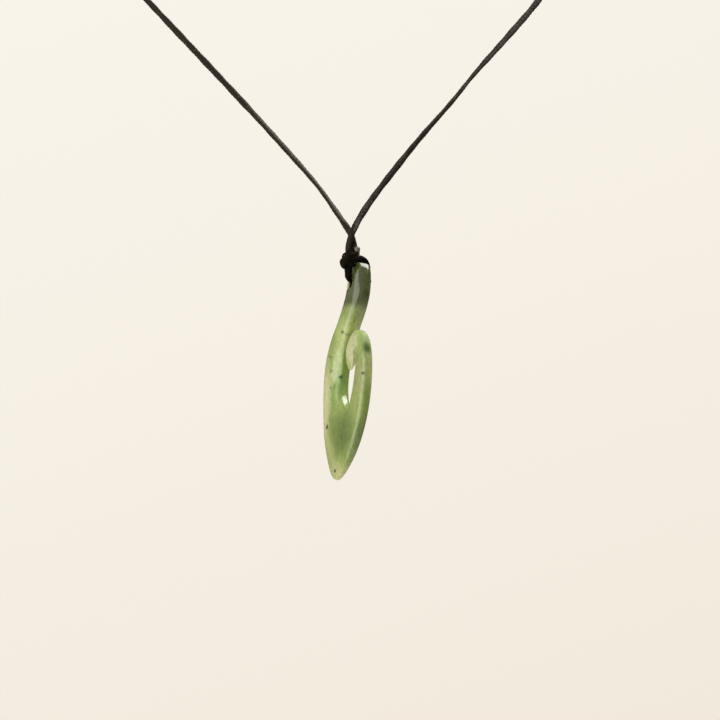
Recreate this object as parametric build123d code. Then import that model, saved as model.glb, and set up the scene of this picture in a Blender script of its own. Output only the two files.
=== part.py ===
from build123d import *

import os
from collections import namedtuple
from math import cos, hypot, pi, radians, sin, tan

# A hei matau: a fish hook carved from one piece of green jade, hung from a thin black cord.
# Millimetres, +Z up. The origin is where the cord rests on the nape of the neck. X runs
# across the shoulders, and the hook hangs in front of the chest, towards -Y.

# Cord
CORD_D = 1.5
CORD_GAP = 0.1
TWIST_R = CORD_D / 2 + 0.04

# Where the two halves of the neck cord cross above the knot, seen from the origin
CROSSING = Vector(2.25, -96.1, -131.0)

# The hook's hole, seen from the crossing, and how the hook hangs from it
HOLE_FROM_CROSSING = Vector(2.17, 1.3, -14.17)
TURN = 65.0
LEAN = 8.0
HANG = 2.85

# Hook
HOLE_D = 2.4
HOLE_RIM = 0.6
HOLE_RUN = 14.0
EDGE_SHARE = 0.42

# Knot above the hook, seen from the crossing
KNOT_CENTRE = Vector(-0.55, -0.4, -6.65)
KNOT_CORE_R = 2.0
KNOT_CORE_LONG = 1.1
KNOT_TURN_R = 1.75
KNOT_TURNS = (
    # across, up, tilt about Y, tilt about X
    (-0.45, -0.85, -8.0, 10.0),
    (0.1, 0.1, -22.0, -6.0),
    (0.2, 1.0, 20.0, 12.0),
)

# Cut end of the cord beside the knot, seen from the crossing
END_FOOT = Vector(1.7, -1.3, -6.2)
END_TIP = Vector(1.72, -1.5, -4.25)
END_D = 1.5

# Knot at the nape
NAPE_CORE_R = 1.5
NAPE_TURN_R = 1.35
NAPE_TURNS = 6
NAPE_PITCH = 1.5
NAPE_BACK = 2.1

# The hook from the top of its shank, down and round its bowl, to the tip of its barb. Each
# row is a section, from the edge that faces the gap to the outer edge, seen from the hole.
Section = namedtuple("Section", "inner_across inner_up outer_across outer_up thick")
HOOK_SECTIONS = [
    Section(1.3, 6.35, -1.9, 6.35, 2.7),
    Section(2.1, 5.8, -2.8, 5.8, 4.2),
    Section(3.0, 4.2, -3.6, 4.1, 5.3),
    Section(3.9, 0.6, -3.9, 0.6, 5.6),
    Section(4.1, -3.4, -4.3, -2.9, 5.5),
    Section(2.4, -7.9, -5.6, -6.6, 5.6),
    Section(-0.1, -12.4, -7.9, -10.8, 5.5),
    Section(-2.4, -17.4, -11.5, -16.2, 5.4),
    Section(-3.5, -23.0, -13.5, -22.6, 5.4),
    Section(-3.5, -28.2, -13.1, -30.0, 5.3),
    Section(-2.1, -32.4, -11.3, -38.3, 5.2),
    Section(0.3, -34.7, -8.3, -47.3, 5.0),
    Section(2.5, -35.8, -1.5, -56.7, 3.4),
    Section(4.0, -35.2, 6.9, -50.4, 3.8),
    Section(4.9, -33.2, 11.4, -42.1, 3.9),
    Section(5.6, -29.6, 13.1, -33.7, 3.8),
    Section(5.8, -24.6, 12.6, -25.4, 3.7),
    Section(5.9, -20.8, 10.6, -18.9, 3.5),
    Section(5.3, -18.8, 7.2, -14.5, 3.5),
    Section(3.9, -18.6, 2.8, -13.3, 3.6),
    Section(2.5, -20.0, -0.9, -17.0, 3.5),
    Section(1.6, -22.5, -1.7, -21.4, 2.7),
    Section(0.6, -24.7, -0.5, -24.5, 1.0),
]

# The bight through the hole, seen from the hole: towards the knot's side, along the hook's
# faces, and up
BIGHT_ROUTE = [
    (3.4, 0.1, 7.0),
    (3.6, 0.0, 4.8),
    (3.65, 0.0, 0.87),
    (-3.6, 0.0, -0.15),
    (-4.1, -1.2, 2.6),
    (-3.95, -1.8, 5.75),
    (-2.1, -1.8, 7.7),
    (0.7, -0.9, 7.85),
    (2.4, -0.1, 7.8),
]

# The neck cord's halves, from the knot to the nape, seen from the crossing
TWIST_DROPS = (-5.6, -4.2, -2.8, -1.4, 0.0)
TWIST_ANGLES = (-20.0, 0.0, 30.0, 60.0, 90.0)
LEFT_ROUTE = [
    (-1.2, 1.9, 2.2),
    (-3.3, 4.0, 5.3),
    (-6.5, 7.6, 10.1),
    (-9.7, 11.0, 14.7),
    (-16.4, 17.0, 22.7),
    (-31.9, 30.3, 40.4),
    (-57.5, 51.5, 68.6),
    (-67.3, 60.5, 79.5),
    (-70.5, 71.5, 95.0),
    (-64.0, 82.5, 109.5),
    (-48.0, 90.5, 120.5),
    (-26.0, 96.8, 129.2),
    (-6.95, 98.2, 131.0),
]
RIGHT_ROUTE = [
    (0.75, 0.2, 1.8),
    (2.2, 2.9, 4.8),
    (5.3, 7.2, 9.9),
    (10.6, 12.9, 17.2),
    (20.1, 22.2, 29.6),
    (30.1, 30.9, 41.2),
    (36.1, 37.0, 49.3),
    (45.9, 45.5, 60.6),
    (57.4, 55.7, 74.3),
    (64.5, 64.2, 85.6),
    (66.0, 74.4, 99.2),
    (57.0, 84.9, 113.2),
    (40.0, 92.4, 123.2),
    (18.5, 97.4, 130.0),
    (2.45, 98.2, 131.0),
]

HOLE = CROSSING + HOLE_FROM_CROSSING
FACE_SIDE = Vector(-sin(radians(TURN)), -cos(radians(TURN)), 0)
EDGE_SIDE = Vector(cos(radians(TURN)), -sin(radians(TURN)), 0)


def hook_section(row):
    """One section of the hook, a rectangle with its corners well rounded."""
    across = row.outer_across - row.inner_across
    up = row.outer_up - row.inner_up
    middle = (
        (row.inner_across + row.outer_across) / 2,
        0,
        (row.inner_up + row.outer_up) / 2,
    )
    wide = hypot(across, up)
    plane = Plane(origin=middle, x_dir=(across, 0, up), z_dir=(-up, 0, across))
    return plane * RectangleRounded(wide, row.thick, EDGE_SHARE * min(wide, row.thick))


def hole_cutter():
    """The drilled hole along the hook's thickness, with its two worn rims."""
    half = max(row.thick for row in HOOK_SECTIONS) / 2
    cutter = Cylinder(HOLE_D / 2, HOLE_RUN)
    rim = Cone(HOLE_D / 2, HOLE_D / 2 + 2 * HOLE_RIM, 2 * HOLE_RIM)
    for side in (0, 180):
        cutter += Rotation(side, 0, 0) * Pos(0, 0, half) * rim
    return Rotation(90, 0, 0) * cutter


def hook():
    """The hook where it hangs, with its centre of mass under the hole."""
    solid = loft([hook_section(row) for row in HOOK_SECTIONS]) - hole_cutter()
    turned = Rotation(0, 0, -TURN) * Rotation(-LEAN, 0, 0) * Rotation(0, -HANG, 0)
    return Pos(HOLE) * turned * solid


def knot_pieces(grow=0.0):
    """The knot's core and its three turns of cord, in place, each fatter all round by grow."""
    pieces = [Cylinder(KNOT_CORE_R + grow, KNOT_CORE_LONG)]
    for side in (-1, 1):
        pieces.append(Pos(0, 0, side * KNOT_CORE_LONG / 2) * Sphere(KNOT_CORE_R + grow))
    for across, up, tilt, nod in KNOT_TURNS:
        turn = Torus(KNOT_TURN_R, CORD_D / 2 + grow)
        pieces.append(Pos(across, 0, up) * Rotation(nod, tilt, 0) * turn)
    return [Pos(CROSSING + KNOT_CENTRE) * piece for piece in pieces]


def knot():
    """The knot above the hook, as a lump with three turns of cord round it."""
    core, *others = knot_pieces()
    return core.fuse(*others)


def cord_end():
    """The stub of cord beside the knot, with a rounded, melted tip."""
    run = END_TIP - END_FOOT
    stub = Pos(0, 0, run.length / 2) * Cylinder(END_D / 2, run.length)
    stub += Pos(0, 0, run.length) * Sphere(END_D / 2)
    return Plane(origin=CROSSING + END_FOOT, z_dir=run).location * stub


def nape_knot():
    """The plain barrel knot that joins the cord's halves at the nape."""
    long = NAPE_TURNS * NAPE_PITCH + 2 * CORD_GAP
    solid = Rotation(0, 90, 0) * Cylinder(NAPE_CORE_R, long)
    for turn in range(NAPE_TURNS):
        across = (turn - (NAPE_TURNS - 1) / 2) * NAPE_PITCH
        solid += Pos(across, 0, 0) * Rotation(0, 90, 0) * Torus(NAPE_TURN_R, CORD_D / 2)
    return Pos(0, NAPE_BACK, 0) * solid


def twist(start_angle):
    """The stretch where the two halves go round each other above the knot."""
    return [
        Vector(
            TWIST_R * cos(radians(start_angle + angle)),
            TWIST_R * sin(radians(start_angle + angle)),
            drop,
        )
        for drop, angle in zip(TWIST_DROPS, TWIST_ANGLES)
    ]


def tube(name, points):
    """A cord's tube of straight runs and tangent arcs, each as large as its runs allow."""
    runs = [b - a for a, b in zip(points, points[1:])]
    radii = []
    for before, after in zip(runs, runs[1:]):
        turn = radians(before.get_angle(after))
        radii.append(0.45 * min(before.length, after.length) / tan(turn / 2))
    path = FilletPolyline(*points, radius=radii)
    start = Plane(origin=path @ 0, z_dir=path % 0)
    solid = sweep(start * Circle(CORD_D / 2), path=path)
    print(
        f"{name}: {path.length:.1f} mm, radii from {min(radii):.2f} mm, volume"
        f" {solid.volume:.1f} of {pi * CORD_D**2 / 4 * path.length:.1f}"
    )
    return solid


def neck_half(name, start_angle, route):
    """One half of the neck cord, from inside the knot to the nape."""
    points = twist(start_angle) + [Vector(*point) for point in route]
    return tube(name, [CROSSING + point for point in points])


def hanging_loop():
    """The bight that goes through the hook's hole and back over the top of its shank."""
    points = [
        HOLE + FACE_SIDE * side + EDGE_SIDE * edge + Vector(0, 0, up)
        for side, edge, up in BIGHT_ROUTE
    ]
    return tube("hanging_loop", points)


def outside_knot(cord):
    """The stretch of a cord that is outside the knot, clear of it by a hair."""
    for piece in knot_pieces(CORD_GAP):
        cord = (cord - piece).solids().sort_by(SortBy.VOLUME)[-1]
    return cord


parts = {
    "hook": hook(),
    "hanging_loop": outside_knot(hanging_loop()),
    "cord_knot": knot(),
    "cord_end": outside_knot(cord_end()),
    "neck_cord_left": outside_knot(neck_half("neck_cord_left", 0.0, LEFT_ROUTE)),
    "neck_cord_right": outside_knot(neck_half("neck_cord_right", 180.0, RIGHT_ROUTE)),
    "nape_knot": nape_knot(),
}

os.makedirs("parts", exist_ok=True)
for name, part in parts.items():
    solids = part.solids()
    print(f"{name}: {len(solids)} solid, {part.volume:.1f} mm3, valid {part.is_valid}")
    export_step(part, f"parts/{name}.step")

balance = parts["hook"].center(CenterOf.MASS) - HOLE
print(f"hook's centre of mass from the hole: {balance.X:.2f} {balance.Y:.2f} {balance.Z:.2f}")
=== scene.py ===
"""A hei matau necklace: a jade fish hook on a thin black cord, dressed for the camera.

The hook hangs from a bight of waxed cord that is knotted above its shank, and the cord's two
halves rise from the knot to the nape of the neck. Metres, +Z up, in the CAD model's frame.
"""

import logging
from collections.abc import Iterable, Sequence
from dataclasses import dataclass
from enum import Enum
from math import atan2, cos, hypot, pi, radians, sin

import bpy
import numpy as np
from mathutils import Euler, Matrix, Vector


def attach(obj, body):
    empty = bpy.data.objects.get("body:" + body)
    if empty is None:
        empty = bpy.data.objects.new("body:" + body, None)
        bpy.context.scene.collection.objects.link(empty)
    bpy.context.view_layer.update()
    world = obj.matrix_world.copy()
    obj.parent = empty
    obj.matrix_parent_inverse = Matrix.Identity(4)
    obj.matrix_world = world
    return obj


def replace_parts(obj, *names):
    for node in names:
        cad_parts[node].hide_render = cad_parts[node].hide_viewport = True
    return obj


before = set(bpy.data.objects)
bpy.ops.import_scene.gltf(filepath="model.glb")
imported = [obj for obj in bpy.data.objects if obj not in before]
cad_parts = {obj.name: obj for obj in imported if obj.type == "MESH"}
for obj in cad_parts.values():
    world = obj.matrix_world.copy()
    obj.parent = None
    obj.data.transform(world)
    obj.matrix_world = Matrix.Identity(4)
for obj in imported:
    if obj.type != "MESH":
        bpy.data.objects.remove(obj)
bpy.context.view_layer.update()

MM = 0.001
CROSSING = Vector((2.25, -96.1, -131.0))
HOLE = CROSSING + Vector((2.17, 1.3, -14.17))
TURN = 65.0
LEAN = 8.0
HANG = 2.85
STEPS_PER_TURN = 12
FEWEST_STEPS = 4
SHORTEST_RUN = 1e-6
PATH_RESOLUTION = 48
PATH_ORDER = 3

log = logging.getLogger("hei_matau")
Pair = tuple[float, float]
Point = tuple[float, float, float]
Colour = tuple[int, int, int]
Piece = bpy.types.Object
Material = bpy.types.Material
World = bpy.types.World
Socket = bpy.types.NodeSocket


class Body(Enum):
    """The CAD bodies that a piece can ride on."""

    NECK_LOOP = "neck_loop"
    PENDANT = "pendant"


class Slot(Enum):
    """The record's material slots."""

    JADE = "jade"
    CORD = "cord"
    MELTED = "melted_cord"


def hook_stance() -> Matrix:
    """How the hook is turned and leaned where it hangs.

    Returns:
        The rotation from the hook's own frame to the row frame.
    """
    turned = Matrix.Rotation(radians(-TURN), 4, "Z")
    leaned = Matrix.Rotation(radians(-LEAN), 4, "X")
    hung = Matrix.Rotation(radians(-HANG), 4, "Y")
    return turned @ leaned @ hung


def deselect_all() -> None:
    """Leave nothing selected and no object active."""
    if bpy.context.object is not None and bpy.context.object.mode != "OBJECT":
        bpy.ops.object.mode_set(mode="OBJECT")
    bpy.ops.object.select_all(action="DESELECT")
    bpy.context.view_layer.objects.active = None


def make_active(piece: Piece) -> None:
    """Select one object alone and make it the active one."""
    deselect_all()
    piece.select_set(True)
    bpy.context.view_layer.objects.active = piece


def select_corners(piece: Piece, numbers: Iterable[int]) -> None:
    """Select some of the active piece's corners alone, and leave it in edit mode.

    Args:
        piece: The mesh object.
        numbers: The corners' numbers.
    """
    bpy.ops.object.mode_set(mode="EDIT")
    bpy.ops.mesh.select_mode(type="VERT")
    bpy.ops.mesh.select_all(action="DESELECT")
    bpy.ops.object.mode_set(mode="OBJECT")
    for number in numbers:
        piece.data.vertices[number].select = True
    bpy.ops.object.mode_set(mode="EDIT")


def apply_modifier(piece: Piece, kind: str, **settings: object) -> None:
    """Add a modifier to a piece and apply it.

    Args:
        piece: The mesh object.
        kind: The modifier's type.
        settings: Its settings by name.
    """
    make_active(piece)
    modifier = piece.modifiers.new(kind.title(), kind)
    for name, value in settings.items():
        setattr(modifier, name, value)
    bpy.ops.object.modifier_apply(modifier=modifier.name)


def finish_piece(piece: Piece, name: str, material: Material, body: Body) -> Piece:
    """Name a finished piece, dress it and make it ride on its body.

    Args:
        piece: The mesh object, in metres and in place.
        name: Its plain name.
        material: Its finish.
        body: The CAD body it moves with.

    Returns:
        The same object.
    """
    piece.name = name
    piece.data.name = name
    piece.data.materials.clear()
    piece.data.materials.append(material)
    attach(piece, body.value)
    log.info("%s: %d faces", name, len(piece.data.polygons))
    return piece


class NodeBench:
    """Adds and joins the shader nodes of one material, or of the world."""

    def __init__(self, holder: Material | World) -> None:
        """Clear the holder's nodes and add its output.

        Args:
            holder: The new material or world.
        """
        holder.use_nodes = True
        self.holder = holder
        self.tree = holder.node_tree
        self.tree.nodes.clear()
        kind = "World" if isinstance(holder, World) else "Material"
        self.output = self.tree.nodes.new("ShaderNodeOutput" + kind)

    def add(self, kind: str, inputs: dict | None = None, **settings: object) -> bpy.types.Node:
        """Add a node.

        Args:
            kind: The node's type without its ShaderNode prefix.
            inputs: Socket names or numbers, with a plain value or a socket to join.
            settings: The node's own settings by name.

        Returns:
            The new node.
        """
        node = self.tree.nodes.new("ShaderNode" + kind)
        for name, value in settings.items():
            setattr(node, name, value)
        for key, value in (inputs or {}).items():
            if isinstance(value, Socket):
                self.tree.links.new(value, node.inputs[key])
            else:
                node.inputs[key].default_value = value
        return node

    def maths(self, operation: str, *values: object) -> Socket:
        """Work out one number from others.

        Args:
            operation: The Math node's operation.
            values: Its inputs, each a number or a socket.

        Returns:
            The result's socket.
        """
        return self.add("Math", dict(enumerate(values)), operation=operation).outputs[0]

    def ease(
        self, value: Socket, low: float, high: float, start: float, end: float
    ) -> Socket:
        """Map a number smoothly from low..high to start..end."""
        inputs = {"Value": value, 1: low, 2: high, 3: start, 4: end}
        return self.add("MapRange", inputs, interpolation_type="SMOOTHSTEP").outputs[0]

    def noise(self, place: Socket, scale: float, detail: float) -> Socket:
        """A smooth noise of 0 to 1 at each place."""
        inputs = {"Vector": place, "Scale": scale, "Detail": detail}
        return self.add("TexNoise", inputs).outputs[0]

    def dots(self, place: Socket, scale: float) -> Socket:
        """How far each place is from the nearest of many scattered points."""
        return self.add("TexVoronoi", {"Vector": place, "Scale": scale}).outputs["Distance"]

    def bump(self, height: Socket, strength: float, distance: float) -> Socket:
        """Roughen the surface with a height, up to a distance in metres."""
        inputs = {"Strength": strength, "Distance": distance, "Height": height}
        return self.add("Bump", inputs).outputs[0]

    def along(self, way: Socket, axis: Sequence[float]) -> Socket:
        """How far a direction points along an axis."""
        node = self.add("VectorMath", {0: way, 1: axis}, operation="DOT_PRODUCT")
        return node.outputs["Value"]

    def blend(self, factor: object, under: object, over: object, how: str = "MIX") -> Socket:
        """Mix two colours.

        Args:
            factor: How much of the upper colour shows, a number or a socket.
            under: The lower colour, as values or a socket.
            over: The upper colour.
            how: The blend type.

        Returns:
            The mixed colour's socket.
        """
        node = self.add("Mix", data_type="RGBA", blend_type=how)
        for key, value in ((0, factor), (6, under), (7, over)):
            if isinstance(value, Socket):
                self.tree.links.new(value, node.inputs[key])
            else:
                node.inputs[key].default_value = value
        return node.outputs[2]

    def close(self, shader: bpy.types.Node) -> Material | World:
        """Join the shader to the output and return the material or the world."""
        self.tree.links.new(shader.outputs[0], self.output.inputs["Surface"])
        return self.holder


def tint(red: int, green: int, blue: int) -> tuple[float, float, float, float]:
    """A colour of 0 to 255 steps as the linear values that shaders take."""
    steps = (red / 255, green / 255, blue / 255)
    linear = [s / 12.92 if s <= 0.04045 else ((s + 0.055) / 1.055) ** 2.4 for s in steps]
    return (linear[0], linear[1], linear[2], 1.0)


@dataclass(frozen=True)
class Cloud:
    """A soft patch of colour on the jade, in the hook's own frame and millimetres; most are the
    stone's own colour, a few are painted light and shade.
    """

    centre: Point
    reach: Point
    colour: Colour
    strength: float = 1.0
    softness: float = 0.8
    slant: float = 0.0


@dataclass(frozen=True)
class JadeFinish:
    """Polished nephrite, mottled and a little translucent, with dark specks, and with light and
    shade painted into its colour in a few places.
    """

    clouds_and_painted_light: tuple[Cloud, ...] = (
        Cloud((-1.5, 0, -13), (8, 9, 9.5), (162, 178, 104), 0.95, 0.75),
        Cloud((0, 0, -7.9), (16, 16, 5.5), (126, 144, 76), 0.9, 0.9),
        Cloud((0.5, 0, 3.6), (18, 18, 11.8), (68, 80, 33), 1.0, 0.25),
        # Painted glow and reflection: the thin left edge made pale cream, as if lit through and
        # catching the bright backdrop.
        Cloud((-9, -2, -34), (5.5, 9, 22), (198, 200, 150), 0.8, 0.9, -8),
        Cloud((-3.4, 1, -28.5), (2.8, 9, 10), (124, 154, 68), 0.9, 0.75),
        # Painted reflection: a pale leaf-shaped patch on the lower shank's face, where the
        # front-left lamp's reflection falls.
        Cloud((-5.2, -2.4, -23.5), (2.2, 2.2, 8), (180, 196, 130), 0.6, 0.6, 4),
        Cloud((2.8, -1, -19.3), (4.8, 6, 8.2), (180, 186, 138), 0.95, 0.6, 10),
        Cloud((10.4, -2.6, -27), (4, 3.2, 15), (146, 155, 96), 0.85, 0.8),
        # Painted light: the limb's upper outer side, which faces away from the lamps, made paler.
        Cloud((12.4, 1.5, -24), (3.6, 3.2, 10), (160, 168, 112), 0.75, 0.8),
        # Painted shade: the limb's lower outer side, which faces away from the lamps, made a
        # darker green.
        Cloud((11.0, 1.4, -43), (4, 3.0, 14), (92, 120, 50), 0.9, 0.8),
        Cloud((3.6, -1, -43.2), (11.5, 9, 9.4), (89, 113, 40), 0.95, 0.85),
        Cloud((8.5, 1.5, -47), (5, 4, 9), (96, 122, 54), 0.7, 0.8, 20),
        # Painted glow and reflection: the pale left edge carried on down the bowl.
        Cloud((-3, -2, -49), (3.5, 6, 9), (174, 178, 122), 0.5, 0.9, -25),
        Cloud((1, 0, -56), (8, 9, 7.5), (170, 178, 118), 0.9, 0.85),
        # Painted light: the far rim of the hole's mouth, made pale as if lit from the front.
        Cloud((-2.2, -2.8, -0.6), (2.0, 1.0, 1.9), (206, 198, 168), 0.9, 0.6),
        Cloud((9.0, 0.5, -16.2), (3.4, 5, 3.5), (122, 142, 78), 0.75, 0.9),
    )
    specks: tuple[Cloud, ...] = (
        Cloud((-2.5, -2.4, -13.9), (0.9, 1.2, 0.8), (44, 66, 10), 0.95, 0.8),
        Cloud((-1.5, -1.4, -14.5), (1.2, 1.2, 0.45), (96, 112, 60), 0.8, 0.9, 25),
        Cloud((-8.7, -2.7, -20.8), (1.9, 1.0, 0.5), (74, 86, 44), 0.8, 0.9, 8),
        Cloud((-7.2, -2.6, -25.0), (1.5, 1.0, 0.6), (72, 90, 42), 0.8, 0.9, -12),
        Cloud((-3.9, -1.0, -26.6), (0.7, 1.2, 0.9), (16, 44, 0), 1.0, 0.7, 30),
        Cloud((-6.1, -2.6, -30.0), (1.9, 1.0, 0.6), (78, 96, 44), 0.8, 0.9),
        Cloud((12.0, -1.4, -26.3), (1.0, 1.0, 0.8), (40, 52, 6), 0.95, 0.8),
        Cloud((10.6, -0.2, -18.9), (1.7, 2.4, 3.2), (40, 62, 4), 0.9, 0.95, -30),
        Cloud((-6.0, -2.5, -41.2), (0.95, 1.0, 1.05), (0, 0, 0), 1.0, 0.7),
        Cloud((-4.3, -2.5, -39.2), (0.5, 0.8, 1.9), (88, 104, 56), 0.8, 0.9, 24),
        Cloud((3.3, -1.8, -44.2), (1.2, 1.0, 0.9), (40, 56, 16), 0.8, 0.9),
        Cloud((0.2, -1.4, -53.8), (0.9, 1.2, 0.75), (0, 0, 0), 1.0, 0.75, -35),
        Cloud((4.0, -1.6, -18.2), (0.7, 1.0, 1.6), (128, 136, 88), 0.7, 0.9, 10),
        Cloud((6.6, -1.6, -22.6), (0.8, 1.0, 1.6), (118, 124, 78), 0.6, 0.9, -30),
        Cloud((-2.0, 2.4, -9.0), (0.7, 1.0, 0.6), (52, 58, 28), 0.8, 0.8),
        Cloud((9.6, 2.0, -38.0), (0.8, 1.0, 0.8), (44, 50, 22), 0.8, 0.8),
        Cloud((-8.2, 2.6, -27.0), (1.4, 1.0, 0.6), (66, 78, 38), 0.8, 0.9, 15),
    )
    ground: Colour = (138, 158, 80)
    ground_dark: Colour = (122, 146, 64)
    fleck: Colour = (62, 74, 34)
    mottle_low: Point = (0.76, 0.74, 0.8)
    mottle_high: Point = (0.96, 0.92, 1.04)
    drawn_out: float = 0.45
    stir: float = 3.2
    dull_patch: Cloud = Cloud((9.3, 0, -16.8), (6.5, 6.5, 6.5), (0, 0, 0), 0.6, 0.7)
    speck_dullness: float = 0.45
    roughness: float = 0.15
    refraction: float = 1.61
    glow: float = 0.75
    glow_depth: float = 0.0022
    glow_reach: Point = (0.85, 1.0, 0.42)

    def place(self, bench: NodeBench) -> tuple[Socket, Socket]:
        """The hook's own coordinates in millimetres, as they are and a little stirred.

        Args:
            bench: The material's nodes.

        Returns:
            The sockets of the plain and the stirred coordinates.
        """
        where = bench.add("TexCoord").outputs["Object"]
        stance = hook_stance().to_euler()
        hung = {"Vector": where, "Location": HOLE * MM, "Rotation": stance, "Scale": (MM, MM, MM)}
        own = bench.add("Mapping", hung, vector_type="TEXTURE")
        noise = bench.add("TexNoise", {"Vector": own.outputs[0], "Scale": 0.22, "Detail": 3.0})
        halves = {0: noise.outputs["Color"], 1: (0.5, 0.5, 0.5)}
        middled = bench.add("VectorMath", halves, operation="SUBTRACT")
        steps = {0: middled.outputs[0], "Scale": self.stir}
        moved = bench.add("VectorMath", steps, operation="SCALE")
        stirred = bench.add("VectorMath", {0: own.outputs[0], 1: moved.outputs[0]})
        return own.outputs[0], stirred.outputs[0]

    def mask(self, bench: NodeBench, place: Socket, cloud: Cloud) -> Socket:
        """How much a cloud shows at each place.

        Args:
            bench: The material's nodes.
            place: The coordinates' socket.
            cloud: The cloud.

        Returns:
            The mask's socket.
        """
        slanted = (0, radians(cloud.slant), 0)
        laid = {"Location": cloud.centre, "Rotation": slanted, "Scale": cloud.reach}
        local = bench.add("Mapping", {"Vector": place, **laid}, vector_type="TEXTURE")
        away = bench.add("VectorMath", {0: local.outputs[0]}, operation="LENGTH")
        core = 1 - cloud.softness
        return bench.ease(away.outputs["Value"], core, 1.0, cloud.strength, 0.0)

    def build(self) -> Material:
        """The jade's material."""
        bench = NodeBench(bpy.data.materials.new("jade"))
        plain, place = self.place(bench)
        drawn = bench.add("Mapping", {"Vector": place, "Scale": (1.0, 1.0, self.drawn_out)})
        broad = bench.ease(bench.noise(drawn.outputs[0], 0.32, 4.0), 0.35, 0.65, 0.0, 1.0)
        colour = bench.blend(broad, tint(*self.ground), tint(*self.ground_dark))
        # Some of these patches are painted light and shade, as marked in the table.
        for cloud in self.clouds_and_painted_light:
            colour = bench.blend(self.mask(bench, place, cloud), colour, tint(*cloud.colour))
        mottle = bench.ease(bench.noise(drawn.outputs[0], 1.4, 5.0), 0.3, 0.7, 0.0, 1.0)
        shade = bench.blend(mottle, (*self.mottle_low, 1.0), (*self.mottle_high, 1.0))
        colour = bench.blend(1.0, colour, shade, "MULTIPLY")
        flecks = bench.ease(bench.dots(place, 0.75), 0.05, 0.3, 0.55, 0.0)
        rare = bench.ease(bench.noise(place, 0.5, 1.0), 0.52, 0.7, 0.0, 1.0)
        colour = bench.blend(bench.maths("MULTIPLY", flecks, rare), colour, tint(*self.fleck))
        pitted = 0.0
        for speck in self.specks:
            shown = self.mask(bench, plain, speck)
            colour = bench.blend(shown, colour, tint(*speck.colour))
            pitted = bench.maths("MAXIMUM", pitted, shown)
        scratches = bench.noise(place, 2.2, 6.0)
        wear_and_glint = bench.ease(scratches, 0.3, 0.75, self.roughness - 0.04, self.roughness + 0.08)
        dull = bench.maths(
            "ADD",
            self.mask(bench, plain, self.dull_patch),
            bench.maths("MULTIPLY", pitted, self.speck_dullness),
        )
        shader = bench.add(
            "BsdfPrincipled",
            {
                "Base Color": colour,
                "Roughness": bench.maths("ADD", wear_and_glint, dull),
                "IOR": self.refraction,
                "Subsurface Weight": self.glow,
                "Subsurface Radius": self.glow_reach,
                "Subsurface Scale": self.glow_depth,
                "Normal": bench.bump(scratches, 0.05, 0.0002),
            },
        )
        return bench.close(shader)


@dataclass(frozen=True)
class CordFinish:
    """Near-black waxed cord, braided, with a soft sheen and glints painted on as pale spots."""

    name: str = "waxed_cord"
    dark: Colour = (12, 9, 6)
    middle: Colour = (26, 21, 15)
    light: Colour = (50, 42, 31)
    wear_and_glint: Colour = (150, 136, 108)
    roughness: float = 0.5
    gloss: float = 0.17
    gloss_tint: Point = (1.0, 0.84, 0.68)
    glints: float = 0.8

    def build(self) -> Material:
        """The cord's material."""
        bench = NodeBench(bpy.data.materials.new(self.name))
        where = bench.add("UVMap").outputs[0]
        fibre = bench.noise(where, 5.0, 6.0)
        strands = bench.ease(fibre, 0.38, 0.72, 0.0, 1.0)
        colour = bench.blend(strands, tint(*self.dark), tint(*self.middle))
        faded = bench.ease(bench.noise(where, 0.35, 2.0), 0.55, 0.75, 0.0, 0.6)
        colour = bench.blend(faded, colour, tint(*self.light))
        # Painted glints: pale spots laid into the cord's colour, standing in for highlights.
        spots = bench.ease(bench.dots(where, 0.8), 0.03, 0.12, self.glints, 0.0)
        colour = bench.blend(spots, colour, tint(*self.wear_and_glint))
        smooth, rough = self.roughness - 0.1, self.roughness + 0.14
        shader = bench.add(
            "BsdfPrincipled",
            {
                "Base Color": colour,
                "Roughness": bench.ease(fibre, 0.3, 0.7, smooth, rough),
                "Specular IOR Level": self.gloss,
                "Specular Tint": (*self.gloss_tint, 1.0),
                "Normal": bench.bump(fibre, 0.5, 0.00008),
            },
        )
        return bench.close(shader)


@dataclass(frozen=True)
class MeltedFinish:
    """The cord's cut end, melted smooth and glossy."""

    dark: Colour = (58, 52, 46)
    pale: Colour = (92, 84, 74)
    roughness: float = 0.24

    def build(self) -> Material:
        """The melted end's material."""
        bench = NodeBench(bpy.data.materials.new("melted_cord"))
        noise = bench.noise(bench.add("TexCoord").outputs["Object"], 900.0, 4.0)
        cloudy = bench.ease(noise, 0.35, 0.65, 0.0, 1.0)
        shader = bench.add(
            "BsdfPrincipled",
            {
                "Base Color": bench.blend(cloudy, tint(*self.dark), tint(*self.pale)),
                "Roughness": self.roughness,
                "Normal": bench.bump(noise, 0.35, 0.0001),
            },
        )
        return bench.close(shader)


@dataclass(frozen=True)
class Section:
    """A section of the hook, from its inner edge to its outer edge, in millimetres."""

    inner_across: float
    inner_up: float
    outer_across: float
    outer_up: float
    thick: float

    @property
    def wide(self) -> float:
        """How wide the section is from edge to edge."""
        return hypot(self.outer_across - self.inner_across, self.outer_up - self.inner_up)

    @property
    def middle(self) -> Vector:
        """The section's middle."""
        across = (self.inner_across + self.outer_across) / 2
        return Vector((across, 0, (self.inner_up + self.outer_up) / 2))

    @property
    def tilt(self) -> float:
        """The turn about Y that lays the ring's X axis from the inner to the outer edge."""
        return atan2(self.inner_up - self.outer_up, self.outer_across - self.inner_across)


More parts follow.
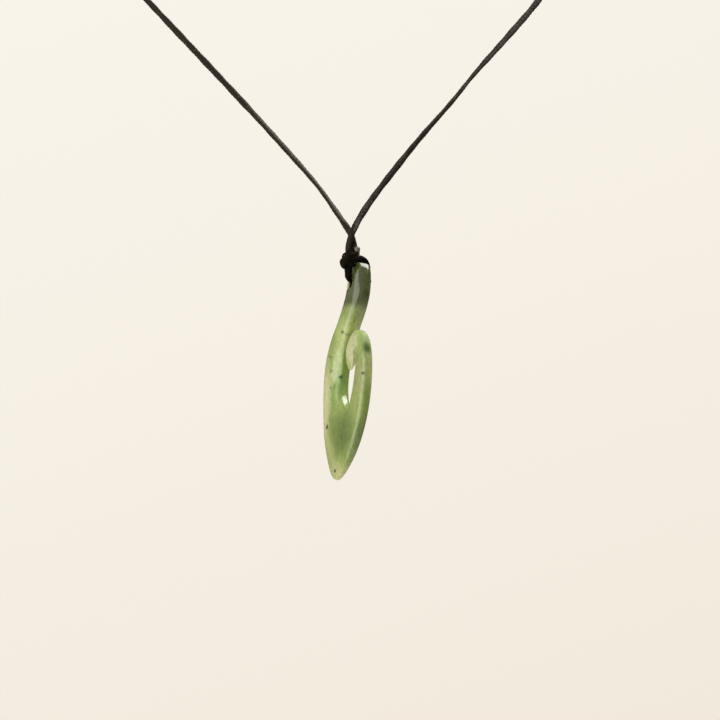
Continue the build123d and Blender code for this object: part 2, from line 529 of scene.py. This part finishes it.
class RingWork:
    """Draws a mesh out of a ring of edges, one extrusion after another, in edit mode."""

    def __init__(self, points: int, radius: float) -> None:
        """Add the ring about the origin and leave it selected in edit mode.

        Args:
            points: The number of corners.
            radius: The ring's radius.
        """
        deselect_all()
        bpy.ops.mesh.primitive_circle_add(vertices=points, radius=radius, fill_type="NOTHING")
        self.piece = bpy.context.object
        bpy.ops.object.mode_set(mode="EDIT")
        bpy.ops.mesh.select_all(action="SELECT")

    def move(self, by: Sequence[float]) -> None:
        """Move the selected ring."""
        bpy.ops.transform.translate(value=tuple(by))

    def size(self, by: Sequence[float]) -> None:
        """Scale the selected ring about the origin."""
        bpy.ops.transform.resize(value=tuple(by), center_override=(0, 0, 0))

    def turn(self, angle: float) -> None:
        """Turn the selected ring about the Y axis through the origin."""
        bpy.ops.transform.rotate(
            value=-angle, orient_axis="Y", orient_type="GLOBAL", center_override=(0, 0, 0)
        )

    def extrude(self) -> None:
        """Extrude the selected ring in place."""
        bpy.ops.mesh.extrude_edges_move(TRANSFORM_OT_translate={"value": (0, 0, 0)})

    def close_end(self) -> None:
        """Fill the selected ring with a face."""
        bpy.ops.mesh.edge_face_add()

    def done(self) -> Piece:
        """Point the faces outwards and leave edit mode.

        Returns:
            The finished object.
        """
        bpy.ops.mesh.select_all(action="SELECT")
        bpy.ops.mesh.normals_make_consistent(inside=False)
        bpy.ops.object.mode_set(mode="OBJECT")
        return self.piece


def turned_shape(corners: int, radius: float, profile: Sequence[Pair]) -> Piece:
    """Turn a closed round shape about +Z.

    Args:
        corners: The number of corners round it.
        radius: The radius that its first ring is drawn with.
        profile: Heights and radii, from the bottom up.

    Returns:
        The shape.
    """
    work = RingWork(corners, radius)
    height = 0.0
    for step, (place, wanted) in enumerate(profile):
        if step > 0:
            work.extrude()
        work.move((0, 0, -height))
        work.size((wanted / radius, wanted / radius, 1))
        work.move((0, 0, place))
        if step == 0:
            work.close_end()
        height, radius = place, wanted
    work.close_end()
    return work.done()


@dataclass
class CarvedHook:
    """The hook, carved from one slab of jade and drilled through its shank."""

    sections: tuple[tuple[float, float, float, float, float], ...] = (
        (1.3, 6.35, -1.9, 6.35, 2.7),
        (2.1, 5.8, -2.8, 5.8, 4.2),
        (3.0, 4.2, -3.6, 4.1, 5.3),
        (3.9, 0.6, -3.9, 0.6, 5.6),
        (4.1, -3.4, -4.3, -2.9, 5.5),
        (2.4, -7.9, -5.6, -6.6, 5.6),
        (-0.1, -12.4, -7.9, -10.8, 5.5),
        (-2.4, -17.4, -11.5, -16.2, 5.4),
        (-3.5, -23.0, -13.5, -22.6, 5.4),
        (-3.5, -28.2, -13.1, -30.0, 5.3),
        (-2.1, -32.4, -11.3, -38.3, 5.2),
        (0.3, -34.7, -8.3, -47.3, 5.0),
        (2.5, -35.8, -1.5, -56.7, 3.4),
        (4.0, -35.2, 6.9, -50.4, 3.8),
        (4.9, -33.2, 11.4, -42.1, 3.9),
        (5.6, -29.6, 13.1, -33.7, 3.8),
        (5.8, -24.6, 12.6, -25.4, 3.7),
        (5.9, -20.8, 10.6, -18.9, 3.5),
        (5.3, -18.8, 7.2, -14.5, 3.5),
        (3.9, -18.6, 2.8, -13.3, 3.6),
        (2.5, -20.0, -0.9, -17.0, 3.5),
        (1.6, -22.5, -1.7, -21.4, 2.7),
        (0.6, -24.7, -0.5, -24.5, 1.0),
    )
    ring_points: int = 24
    steps: int = 3
    squareness: float = 3.3
    ground_facings: tuple[Pair, ...] = (
        (4.0, 68.0),
        (0.0, 52.0),
        (-4.0, 40.0),
        (-10.0, 33.0),
        (-17.0, 27.0),
        (-30.0, 26.0),
    )
    ground_depths: tuple[Pair, ...] = (
        (3.4, 0.0),
        (1.5, 0.08),
        (-1.0, 0.2),
        (-3.2, 0.31),
        (-4.8, 0.06),
        (-6.4, 0.0),
        (-16.4, 0.0),
        (-17.5, 0.2),
        (-19.5, 0.56),
        (-22.4, 0.74),
        (-25.2, 0.8),
        (-27.3, 0.75),
        (-29.4, 0.43),
        (-30.9, 0.0),
    )
    ground_across: float = 1.0
    crispness: float = 0.5
    smooth_angle: float = 32.0
    hole_radius: float = 1.2
    bit_corners: int = 48
    mouth: tuple[Pair, ...] = (
        (1.6, 1.2),
        (2.2, 1.22),
        (2.6, 1.3),
        (2.8, 1.45),
        (3.0, 1.9),
        (3.3, 2.8),
    )

    def rows(self) -> list[Section]:
        """The table's sections with others eased in between them.

        Returns:
            The sections in order.
        """
        table = np.array(self.sections)
        padded = np.vstack([2 * table[0] - table[1], table, 2 * table[-1] - table[-2]])
        rows = [Section(*table[0])]
        for a, b, c, d in zip(padded, padded[1:], padded[2:], padded[3:]):
            for step in range(1, self.steps + 1):
                t = step / self.steps
                eased = 0.5 * (
                    2 * b
                    + (c - a) * t
                    + (2 * a - 5 * b + 4 * c - d) * t**2
                    + (3 * b - a - 3 * c + d) * t**3
                )
                rows.append(Section(*eased))
        return rows

    def square_up(self, work: RingWork) -> None:
        """Push the ring's shoulders out, so that its faces are flatter than an ellipse's.

        Args:
            work: The ring, of radius 0.5 about the origin.
        """
        bpy.ops.object.mode_set(mode="OBJECT")
        corners = work.piece.data.vertices
        angles = {v.index: round(atan2(abs(v.co.y), abs(v.co.x)), 4) for v in corners}
        power = self.squareness
        for angle in sorted(set(angles.values())):
            out = (abs(cos(angle)) ** power + abs(sin(angle)) ** power) ** (-1 / power)
            select_corners(work.piece, [n for n in angles if angles[n] == angle])
            work.size((out, out, 1))
        bpy.ops.mesh.select_all(action="SELECT")

    def draw_out(self) -> Piece:
        """Extrude the ring through every section, from the shank's top to the barb's tip.

        Returns:
            The hook's skin, in its own frame and in millimetres.
        """
        work = RingWork(self.ring_points, 0.5)
        self.square_up(work)
        last = None
        for row in self.rows():
            if last is None:
                work.size((row.wide, row.thick, 1))
                work.turn(row.tilt)
                work.move(row.middle)
                work.close_end()
            else:
                work.extrude()
                work.move(-last.middle)
                work.turn(-last.tilt)
                work.size((row.wide / last.wide, row.thick / last.thick, 1))
                work.turn(row.tilt)
                work.move(row.middle)
            last = row
        work.close_end()
        piece = work.done()
        self.grind_corner(piece)
        apply_modifier(piece, "SUBSURF", levels=2, render_levels=2)
        return piece

    def grind_corner(self, piece: Piece) -> None:
        """Flatten the shank's front corner, ring by ring, into the long facets that it has.

        Args:
            piece: The hook's skin before it is smoothed.
        """
        heights, depths = zip(*reversed(self.ground_depths))
        places, angles = zip(*reversed(self.ground_facings))
        make_active(piece)
        ground = set()
        for ring in range(len(piece.data.vertices) // self.ring_points):
            first = ring * self.ring_points
            corners = piece.data.vertices[first : first + self.ring_points]
            up = sum(corner.co.z for corner in corners) / self.ring_points
            across = sum(corner.co.x for corner in corners) / self.ring_points
            depth = float(np.interp(up, heights, depths, 0.0, 0.0))
            if depth <= 0 or across > self.ground_across:
                continue
            angle = radians(float(np.interp(up, places, angles)))
            facing = Vector((sin(angle), -cos(angle), 0))
            limit = max(corner.co.dot(facing) for corner in corners) - depth
            ground |= {corner.index for corner in corners if corner.co.dot(facing) > limit}
            self.flatten(piece, range(first, first + self.ring_points), facing, limit)
        for face in piece.data.polygons:
            face.select = ground.issuperset(face.vertices)
        bpy.ops.object.mode_set(mode="EDIT")
        bpy.ops.mesh.select_mode(type="FACE")
        bpy.ops.mesh.region_to_loop()
        bpy.ops.transform.edge_crease(value=self.crispness)
        bpy.ops.object.mode_set(mode="OBJECT")

    def flatten(self, piece: Piece, ring: range, facing: Vector, limit: float) -> None:
        """Press a ring's corners that stand out past a plane back onto it.

        Args:
            piece: The hook's skin.
            ring: The numbers of the ring's corners.
            facing: The plane's normal.
            limit: Its distance from the origin.
        """
        corners = piece.data.vertices
        select_corners(piece, [n for n in ring if corners[n].co.dot(facing) > limit])
        bpy.ops.transform.resize(
            value=(1, 1, 0),
            orient_type="GLOBAL",
            orient_matrix=facing.to_track_quat("Z", "Y").to_matrix(),
            orient_matrix_type="GLOBAL",
            constraint_axis=(False, False, True),
            center_override=facing * limit,
        )
        bpy.ops.object.mode_set(mode="OBJECT")

    def drill_bit(self) -> Piece:
        """The tool that cuts the hole, flared where the rims are rubbed smooth.

        Returns:
            The cutter, along the hook's thickness.
        """
        profile = [(-y, r) for y, r in reversed(self.mouth)] + list(self.mouth)
        cutter = turned_shape(self.bit_corners, self.hole_radius, profile)
        cutter.data.transform(Matrix.Rotation(radians(90), 4, "X"))
        return cutter

    def build(self, material: Material) -> Piece:
        """Carve, drill, place and dress the hook.

        Args:
            material: The jade.

        Returns:
            The finished hook.
        """
        hook = self.draw_out()
        cutter = self.drill_bit()
        apply_modifier(hook, "BOOLEAN", operation="DIFFERENCE", object=cutter, solver="EXACT")
        bpy.data.objects.remove(cutter)
        make_active(hook)
        bpy.ops.object.shade_smooth_by_angle(angle=radians(self.smooth_angle))
        stance = Matrix.Translation(HOLE) @ hook_stance()
        hook.data.transform(Matrix.Scale(MM, 4) @ stance)
        finish_piece(hook, "jade_hook", material, Body.PENDANT)
        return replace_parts(hook, "hook")


@dataclass(frozen=True)
class Turn:
    """How far the flat cord has turned, in degrees, at a distance in millimetres."""

    at: float
    angle: float


def as_turns(*pairs: Pair) -> tuple[Turn, ...]:
    """Turns from pairs of a distance and an angle."""
    return tuple(Turn(at, angle) for at, angle in pairs)


@dataclass(frozen=True)
class CordMake:
    """The cord's own make: a flat braid with a diamond surface."""

    wide: float = 1.9
    thick: float = 1.22
    corners: int = 24
    squareness: float = 2.3
    strands: int = 4
    pitch: float = 1.5
    relief: float = 0.085
    ridge: float = 0.45
    flank: float = 1.3
    step: float = 0.25
    swells: tuple[Point, ...] = ((0.045, 0.9, 0.0), (0.04, 0.37, 1.7))
    tapered: float = 0.4
    end_size: float = 0.55

    def outline(self, angle: np.ndarray, swell: float) -> tuple[np.ndarray, np.ndarray]:
        """The smooth section at each angle round it.

        Args:
            angle: Angles in radians.
            swell: A share by which the cord is fatter or thinner.

        Returns:
            The distances along the wide and the thick way, in millimetres.
        """
        power = 2 / self.squareness
        wide = np.sign(np.cos(angle)) * np.abs(np.cos(angle)) ** power * self.wide / 2
        thick = np.sign(np.sin(angle)) * np.abs(np.sin(angle)) ** power * self.thick / 2
        return wide * swell, thick * swell

    def swell_at(self, along: float, end: float) -> float:
        """How fat the cord is, uneven along it and thinner towards its ends.

        Args:
            along: The distance along the cord in millimetres.
            end: The distance to the nearer end.

        Returns:
            A share of its plain size.
        """
        waves = (share * sin(along * rate + start) for share, rate, start in self.swells)
        swell = 1.0 + sum(waves)
        return swell * min(1.0, self.end_size + (1 - self.end_size) * end / self.tapered)

    def relief_at(self, angle: np.ndarray, along: float) -> np.ndarray:
        """The braid's height over the smooth section, from 0 to 1.

        Args:
            angle: Angles round the section in radians.
            along: The distance along the cord in millimetres.

        Returns:
            The heights.
        """
        right = self.strands * angle / (2 * pi) + along / self.pitch
        left = self.strands * angle / (2 * pi) - along / self.pitch
        over = (np.round(right) + np.round(left)) % 2
        first = np.abs(np.cos(pi * right))
        second = np.abs(np.cos(pi * left))
        along_first = first**self.ridge * second**self.flank
        along_second = first**self.flank * second**self.ridge
        return np.where(over > 0.5, along_first, along_second)


def smooth_path(name: str, points: Sequence[Vector]) -> np.ndarray:
    """Read the line of a smooth NURBS spline with these control points.

    Args:
        name: A name for the spline.
        points: The control points, in millimetres.

    Returns:
        Points close together along the line, in millimetres.
    """
    curve = bpy.data.curves.new(name, "CURVE")
    curve.dimensions = "3D"
    curve.resolution_u = PATH_RESOLUTION
    spline = curve.splines.new("NURBS")
    spline.points.add(len(points) - 1)
    for knot, point in zip(spline.points, points):
        knot.co = (*point, 1.0)
    spline.order_u = PATH_ORDER
    spline.use_endpoint_u = True
    holder = bpy.data.objects.new(name, curve)
    bpy.context.scene.collection.objects.link(holder)
    bpy.context.view_layer.update()
    line = bpy.data.meshes.new_from_object(holder)
    dense = np.array([vertex.co[:] for vertex in line.vertices])
    bpy.data.objects.remove(holder)
    bpy.data.curves.remove(curve)
    bpy.data.meshes.remove(line)
    return dense


def even_steps(dense: np.ndarray, step: float) -> tuple[np.ndarray, np.ndarray]:
    """Space a line's points evenly.

    Args:
        dense: Points close together along the line.
        step: About how far apart the new points are.

    Returns:
        The new points, and each one's distance along the line.
    """
    runs = np.linalg.norm(np.diff(dense, axis=0), axis=1)
    keep = np.concatenate([[True], runs > SHORTEST_RUN])
    dense = dense[keep]
    reach = np.concatenate([[0], np.cumsum(np.linalg.norm(np.diff(dense, axis=0), axis=1))])
    count = max(FEWEST_STEPS, int(round(reach[-1] / step)))
    at = np.linspace(0, reach[-1], count + 1)
    return np.stack([np.interp(at, reach, dense[:, i]) for i in range(3)], axis=1), at


@dataclass
class BraidedRun:
    """One run of the braided cord along a route."""

    name: str
    route: Sequence[Vector]
    turns: tuple[Turn, ...]
    make: CordMake = CordMake()
    flat_to: Point = (0, -1, 0)

    def skin(self) -> tuple[Piece, np.ndarray]:
        """Wrap the braid round the route's smooth line.

        Returns:
            The mesh object in metres, and the line that it follows in millimetres.
        """
        line, at = even_steps(smooth_path(self.name, self.route), self.make.step)
        tangents = np.gradient(line, axis=0)
        tangents /= np.linalg.norm(tangents, axis=1)[:, None]
        flat_to = np.array(self.flat_to, float)
        facing = flat_to - (tangents @ flat_to)[:, None] * tangents
        facing /= np.linalg.norm(facing, axis=1)[:, None]
        side = np.cross(tangents, facing)
        places, angles = zip(*((turn.at, turn.angle) for turn in self.turns))
        turned = np.radians(np.interp(at, places, angles))
        around = np.arange(self.make.corners) / self.make.corners * 2 * pi
        rings = []
        for point, distance, s, f, angle in zip(line, at, side, facing, turned):
            swell = self.make.swell_at(distance, min(distance, at[-1] - distance))
            wide, thick = self.make.outline(around, swell)
            out = np.hypot(wide, thick)
            high = 1 + self.make.relief * (self.make.relief_at(around, distance) - 0.5) / out
            wide_way = s * cos(angle) + f * sin(angle)
            thick_way = f * cos(angle) - s * sin(angle)
            rings.append(
                point + (wide * high)[:, None] * wide_way + (thick * high)[:, None] * thick_way
            )
        return self.mesh(np.array(rings) * MM, at), line

    def mesh(self, rings: np.ndarray, at: np.ndarray) -> Piece:
        """Join the rings into a closed skin with its own UV map.

        Args:
            rings: The rings' corners, in metres.
            at: Each ring's distance along the cord, in millimetres.

        Returns:
            The mesh object.
        """
        count, corners = rings.shape[:2]
        rows = [range(ring * corners, (ring + 1) * corners) for ring in range(count)]
        faces = [
            (low[i], low[(i + 1) % corners], high[(i + 1) % corners], high[i])
            for low, high in zip(rows, rows[1:])
            for i in range(corners)
        ]
        ends = [tuple(reversed(rows[0])), tuple(rows[-1])]
        mesh = bpy.data.meshes.new(self.name)
        mesh.from_pydata(rings.reshape(-1, 3).tolist(), [], faces + ends)
        layer = mesh.uv_layers.new(name="along_cord")
        girth = pi * (self.make.wide + self.make.thick) / 2
        for face in mesh.polygons:
            seam = face.index < len(faces) and face.index % corners == corners - 1
            face.use_smooth = True
            for loop in face.loop_indices:
                corner = mesh.loops[loop].vertex_index
                place = corner % corners
                if seam and place == 0:
                    place = corners
                layer.data[loop].uv = (place / corners * girth, at[corner // corners])
        mesh.validate()
        piece = bpy.data.objects.new(self.name, mesh)
        bpy.context.scene.collection.objects.link(piece)
        return piece


def join_runs(runs: Sequence[BraidedRun]) -> Piece:
    """Skin several runs of cord and join them.

    Args:
        runs: The runs.

    Returns:
        The joined mesh object.
    """
    deselect_all()
    strands = [run.skin()[0] for run in runs]
    for strand in strands:
        strand.select_set(True)
    bpy.context.view_layer.objects.active = strands[0]
    bpy.ops.object.join()
    return bpy.context.object


class Side(Enum):
    """The two halves of the neck cord."""

    LEFT = "left"
    RIGHT = "right"


@dataclass
class NeckCord:
    """One half of the neck cord, from inside the knot to the nape."""

    side: Side
    start_angle: float
    route: tuple[Point, ...]
    turns: tuple[Turn, ...]
    length: float
    twist_radius: float = 0.79
    drops: tuple[float, ...] = (-5.6, -4.2, -2.8, -1.4, 0.0)
    angles: tuple[float, ...] = (-20.0, 0.0, 30.0, 60.0, 90.0)

    def points(self) -> list[Vector]:
        """The route's points: once round the other half, then up to the nape."""
        points = []
        for drop, angle in zip(self.drops, self.angles):
            at = radians(self.start_angle + angle)
            points.append(
                Vector((self.twist_radius * cos(at), self.twist_radius * sin(at), drop))
            )
        points += [Vector(point) for point in self.route]
        return [CROSSING + point for point in points]

    def build(self, material: Material, with_pieces: list[Piece]) -> Piece:
        """Args:
            material: The cord's finish.
            with_pieces: The pieces on this half; not used.

        Returns:
            The finished half.
        """
        name = f"neck_cord_{self.side.value}"
        piece, line = BraidedRun(name + "_braid", self.points(), self.turns).skin()
        finish_piece(piece, name + "_braid", material, Body.NECK_LOOP)
        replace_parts(piece, name)
        return piece


@dataclass
class HangingLoop:
    """The bight through the hook's hole and back over the top of its shank."""

    route: tuple[Point, ...] = (
        (3.3, 0.2, 7.0),
        (3.5, 0.3, 4.8),
        (3.4, 0.2, 0.87),
        (-3.6, 0.0, -0.15),
        (-3.75, -2.0, 2.6),
        (-3.75, -2.1, 5.6),
        (-2.1, -1.8, 7.4),
        (0.7, -0.9, 7.4),
        (2.4, -0.1, 7.5),
    )
    turns: tuple[Turn, ...] = as_turns(
        (0, 0), (4.5, 0), (7.5, 90), (12, 90), (14.5, 65), (17, 60), (21, 5), (26, 0)
    )
    make: CordMake = CordMake(wide=2.15, thick=1.1)

    def build(self, material: Material) -> Piece:
        """Make the bight.

        Args:
            material: The cord's finish.

        Returns:
            The finished bight.
        """
        face_side = Vector((-sin(radians(TURN)), -cos(radians(TURN)), 0))
        edge_side = Vector((cos(radians(TURN)), -sin(radians(TURN)), 0))
        points = [
            HOLE + face_side * side + edge_side * edge + Vector((0, 0, up))
            for side, edge, up in self.route
        ]
        piece, _ = BraidedRun("hook_bight", points, self.turns, self.make).skin()
        finish_piece(piece, "hook_bight", material, Body.NECK_LOOP)
        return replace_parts(piece, "hanging_loop")


@dataclass
class CordKnot:
    """The knot above the hook: turns of cord round the strands that pass through it."""

    centre: Vector = CROSSING + Vector((-0.55, -0.4, -6.65))
    radius: float = 1.66
    turns_round: float = 2.0
    low: float = -1.3
    high: float = 1.75
    roundness: float = 0.3
    start_angle: float = -40.0
    lean: float = 0.8
    lean_towards: float = 0.5
    across: float = 0.12
    middle: tuple[Point, ...] = (
        (0.3, 0.2, -2.5),
        (0.5, 0.1, -1.0),
        (0.3, 0.0, 0.6),
        (-0.2, 0.0, 2.3),
    )
    across_front: tuple[Point, ...] = (
        (-1.2, 0.9, -2.0),
        (-2.0, -0.5, -1.9),
        (-1.8, -1.9, -1.2),
        (-0.5, -2.5, -0.2),
        (0.9, -2.3, 0.5),
        (1.9, -1.3, 0.9),
        (2.1, -0.9, 1.6),
    )

    def winding(self) -> list[Vector]:
        """The control points of the turns round the middle, low to high."""
        steps = int(self.turns_round * STEPS_PER_TURN)
        points = [Vector((0.5, 0.3, self.low - 0.5))]
        for step in range(steps + 1):
            share = step / steps
            angle = radians(self.start_angle) - share * self.turns_round * 2 * pi
            lean = self.lean * cos(angle + self.lean_towards) * (1 - 0.5 * share)
            out = self.radius * (1 - self.roundness * (2 * share - 1) ** 2)
            up = self.low + share * (self.high - self.low) + lean
            points.append(Vector((out * cos(angle) + self.across, out * sin(angle), up)))
        points.append(Vector((-0.3, 0.4, self.high + 0.3)))
        return [self.centre + point for point in points]

    def placed(self, places: tuple[Point, ...]) -> list[Vector]:
        """Control points that are given from the knot's centre."""
        return [self.centre + Vector(place) for place in places]

    def build(self, material: Material) -> Piece:
        """Make the knot of its three strands.

        Args:
            material: The cord's finish.

        Returns:
            The finished knot.
        """
        make = CordMake(wide=2.3, thick=1.45, relief=0.04)
        fat = CordMake(wide=2.1, thick=2.0)
        up = (0, 0, 1)
        front = self.placed(self.across_front)
        runs = [
            BraidedRun("knot_turns", self.winding(), as_turns((0, 80), (40, 80)), make, up),
            BraidedRun("knot_core", self.placed(self.middle), as_turns((0, 0), (8, 60)), fat),
            BraidedRun("knot_front", front, as_turns((0, 70), (12, 50)), make, up),
        ]
        knot = join_runs(runs)
        finish_piece(knot, "knot_above_hook", material, Body.NECK_LOOP)
        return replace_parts(knot, "cord_knot")


@dataclass
class MeltedEnd:
    """The cord's cut end beside the knot, melted so that it can't fray."""

    foot: Vector = CROSSING + Vector((1.7, -1.3, -6.2))
    tip: Vector = CROSSING + Vector((1.65, -1.5, -3.45))
    corners: int = 20
    rings: tuple[Pair, ...] = (
        (0.0, 0.62),
        (0.2, 0.7),
        (0.45, 0.72),
        (0.62, 0.8),
        (0.75, 0.86),
        (0.88, 0.84),
        (0.98, 0.7),
        (1.06, 0.4),
        (1.04, 0.15),
    )

    def build(self, material: Material) -> Piece:
        """Draw the stub out ring by ring and stand it beside the knot.

        Args:
            material: The melted finish.

        Returns:
            The finished stub.
        """
        run = self.tip - self.foot
        profile = [(share * run.length, radius) for share, radius in self.rings]
        stub = turned_shape(self.corners, 1.0, profile)
        apply_modifier(stub, "SUBSURF", levels=2, render_levels=2)
        make_active(stub)
        bpy.ops.object.shade_smooth()
        stand = run.to_track_quat("Z", "Y").to_matrix().to_4x4()
        stub.data.transform(Matrix.Scale(MM, 4) @ Matrix.Translation(self.foot) @ stand)
        finish_piece(stub, "melted_end", material, Body.NECK_LOOP)
        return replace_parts(stub, "cord_end")


@dataclass
class NapeKnot:
    """The barrel knot that joins the cord's halves at the nape."""

    back: float = 2.1
    radius: float = 1.32
    turns_round: int = 6
    pitch: float = 1.5
    inset: float = 0.55
    through: tuple[float, ...] = (-4.7, -1.6, 1.6, 4.7)

    def build(self, material: Material) -> Piece:
        """Wind the barrel and lay the two halves through it.

        Args:
            material: The cord's finish.

        Returns:
            The finished knot.
        """
        steps = self.turns_round * STEPS_PER_TURN
        half = self.turns_round * self.pitch / 2
        winding = [Vector((-half + 0.5, self.back, 0.5))]
        for step in range(steps + 1):
            angle = step / STEPS_PER_TURN * 2 * pi
            across = (half - self.inset) * (2 * step / steps - 1)
            back = self.back - self.radius * cos(angle)
            winding.append(Vector((across, back, self.radius * sin(angle))))
        winding.append(Vector((half - 0.5, self.back, -0.4)))
        make = CordMake(wide=1.42, thick=1.36)
        through = [Vector((across, self.back, 0.0)) for across in self.through]
        core = CordMake(wide=1.9, thick=1.5)
        runs = [
            BraidedRun("barrel_turns", winding, as_turns((0, 0), (60, 0)), make, (1, 0, 0)),
            BraidedRun("barrel_core", through, as_turns((0, 0), (10, 90)), core),
        ]
        knot = join_runs(runs)
        finish_piece(knot, "barrel_knot", material, Body.NECK_LOOP)
        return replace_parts(knot, "nape_knot")


@dataclass(frozen=True)
class Lamp:
    """A soft rectangular light that looks at the hook.

    Its place is in millimetres from the picture's centre, its size in metres and its power
    in watts.
    """

    name: str
    place: Point
    size: Pair
    power: float


@dataclass
class Studio:
    """The camera where the photograph was taken from, with soft light and a pale floor."""

    distance: float = 800.0
    centre: Vector = CROSSING + Vector((2.46, 0, -35.7))
    frame_width: float = 205.7
    sensor_width: float = 36.0
    backdrop: Colour = (246, 240, 229)
    backdrop_low: Colour = (241, 233, 220)
    backdrop_high: Colour = (249, 244, 235)
    backdrop_rise: Point = (-0.35, 0, 1)
    backdrop_reach: float = 0.17
    ambient: Pair = (0.25, 0.85)
    bright_side: Point = (-0.6, -0.65, 0.45)
    bright_edge: Pair = (-0.3, 0.8)
    floor_place: Point = (0, 400, -430)
    floor_size: float = 3.0
    lamp_colour: Point = (1.0, 0.98, 0.95)
    lamps: tuple[Lamp, ...] = (
        Lamp("overhead", (290, 130, 510), (0.48, 0.48), 6.0),
        Lamp("front_left", (-580, -380, 80), (0.85, 1.2), 6.6),
    )

    def camera(self) -> None:
        """Set the camera level with the middle of the photograph."""
        data = bpy.data.cameras.new("camera")
        data.sensor_width = self.sensor_width
        data.lens = self.sensor_width * self.distance / self.frame_width
        data.clip_start = 0.01
        camera = bpy.data.objects.new("camera", data)
        camera.location = (self.centre - Vector((0, self.distance, 0))) * MM
        camera.rotation_euler = Euler((radians(90), 0, 0))
        bpy.context.scene.collection.objects.link(camera)
        bpy.context.scene.camera = camera

    def hang(self, lamp: Lamp) -> None:
        """Hang one light."""
        data = bpy.data.lights.new(lamp.name, "AREA")
        data.shape = "RECTANGLE"
        data.size, data.size_y = lamp.size
        data.energy = lamp.power
        data.color = self.lamp_colour
        light = bpy.data.objects.new(lamp.name, data)
        light.location = (self.centre + Vector(lamp.place)) * MM
        light.rotation_euler = (-Vector(lamp.place)).to_track_quat("-Z", "Y").to_euler()
        bpy.context.scene.collection.objects.link(light)

    def floor(self) -> None:
        """Lay the pale floor well below the pendant."""
        deselect_all()
        low = self.centre + Vector(self.floor_place)
        bpy.ops.mesh.primitive_plane_add(size=self.floor_size, location=low * MM)
        floor = bpy.context.object
        bench = NodeBench(bpy.data.materials.new("pale_floor"))
        paint = {"Base Color": tint(*self.backdrop), "Roughness": 0.9}
        floor.name = "floor"
        floor.data.materials.append(bench.close(bench.add("BsdfPrincipled", paint)))

    def air(self) -> None:
        """Put a warm white backdrop all round, and dimmer light on the object."""
        bench = NodeBench(bpy.data.worlds.new("room"))
        way = bench.add("TexCoord").outputs["Generated"]
        rise = bench.along(way, self.backdrop_rise)
        limits = {"Value": rise, 1: -self.backdrop_reach, 2: self.backdrop_reach}
        share = bench.add("MapRange", limits).outputs[0]
        paper = bench.blend(share, tint(*self.backdrop_low), tint(*self.backdrop_high))
        seen = bench.add("Background", {"Color": paper, "Strength": 1.0})
        facing = bench.along(way, Vector(self.bright_side).normalized())
        strength = bench.ease(facing, *self.bright_edge, *self.ambient)
        dim = bench.add("Background", {"Color": tint(*self.backdrop), "Strength": strength})
        by_camera = bench.add("LightPath").outputs["Is Camera Ray"]
        mix = bench.add("MixShader", {0: by_camera, 1: dim.outputs[0], 2: seen.outputs[0]})
        bpy.context.scene.world = bench.close(mix)
        bpy.context.scene.view_settings.view_transform = "Standard"

    def build(self) -> None:
        """Set the whole studio up."""
        self.camera()
        self.floor()
        self.air()
        for lamp in self.lamps:
            self.hang(lamp)


# Painted shade: a darker copy of the cord's finish, used for the bight and the knot.
SHADED_CORD = CordFinish(
    name="shaded_cord",
    dark=(3, 2, 1),
    middle=(9, 7, 4),
    light=(20, 16, 11),
    roughness=0.55,
    gloss=0.07,
    glints=0.3,
)
LEFT_HALF = NeckCord(
    side=Side.LEFT,
    start_angle=0.0,
    route=(
        (-1.2, 1.9, 2.2),
        (-3.3, 4.0, 5.3),
        (-6.5, 7.6, 10.1),
        (-9.7, 11.0, 14.7),
        (-16.4, 17.0, 22.7),
        (-31.9, 30.3, 40.4),
        (-57.5, 51.5, 68.6),
        (-67.3, 60.5, 79.5),
        (-70.5, 71.5, 95.0),
        (-64.0, 82.5, 109.5),
        (-48.0, 90.5, 120.5),
        (-26.0, 96.8, 129.2),
        (-6.95, 98.2, 131.0),
    ),
    turns=as_turns(
        *((0, 30), (7, 15), (12, -47), (20, -69), (33, -66), (41, -40), (53, -52)),
        *((66, -15), (84, -10), (110, 20), (140, 80), (180, 140), (230, 180)),
    ),
    length=228.0,
)
RIGHT_HALF = NeckCord(
    side=Side.RIGHT,
    start_angle=180.0,
    route=(
        (0.75, 0.2, 1.8),
        (2.2, 2.9, 4.8),
        (5.3, 7.2, 9.9),
        (10.6, 12.9, 17.2),
        (20.1, 22.2, 29.6),
        (30.1, 30.9, 41.2),
        (36.1, 37.0, 49.3),
        (45.9, 45.5, 60.6),
        (57.4, 55.7, 74.3),
        (64.5, 64.2, 85.6),
        (66.0, 74.4, 99.2),
        (57.0, 84.9, 113.2),
        (40.0, 92.4, 123.2),
        (18.5, 97.4, 130.0),
        (2.45, 98.2, 131.0),
    ),
    turns=as_turns(
        *((0, 30), (7, 15), (12, -22), (38, -24), (48, -58), (66, -78)),
        *((80, -110), (94, -155), (120, -200), (160, -250), (200, -330), (230, -360)),
    ),
    length=227.3,
)


def main() -> None:
    """Build the studio, the cords, the knots and the hook, in that order."""
    logging.basicConfig(level=logging.INFO, format="%(name)s: %(message)s")
    Studio().build()
    cord = CordFinish().build()
    shaded_finish = SHADED_CORD.build()
    bight = HangingLoop().build(shaded_finish)
    knot = CordKnot().build(shaded_finish)
    stub = MeltedEnd().build(MeltedFinish().build())
    barrel = NapeKnot().build(cord)
    LEFT_HALF.build(cord, [bight, knot, stub])
    RIGHT_HALF.build(cord, [barrel])
    CarvedHook().build(JadeFinish().build())


if __name__ == "__main__":
    main()
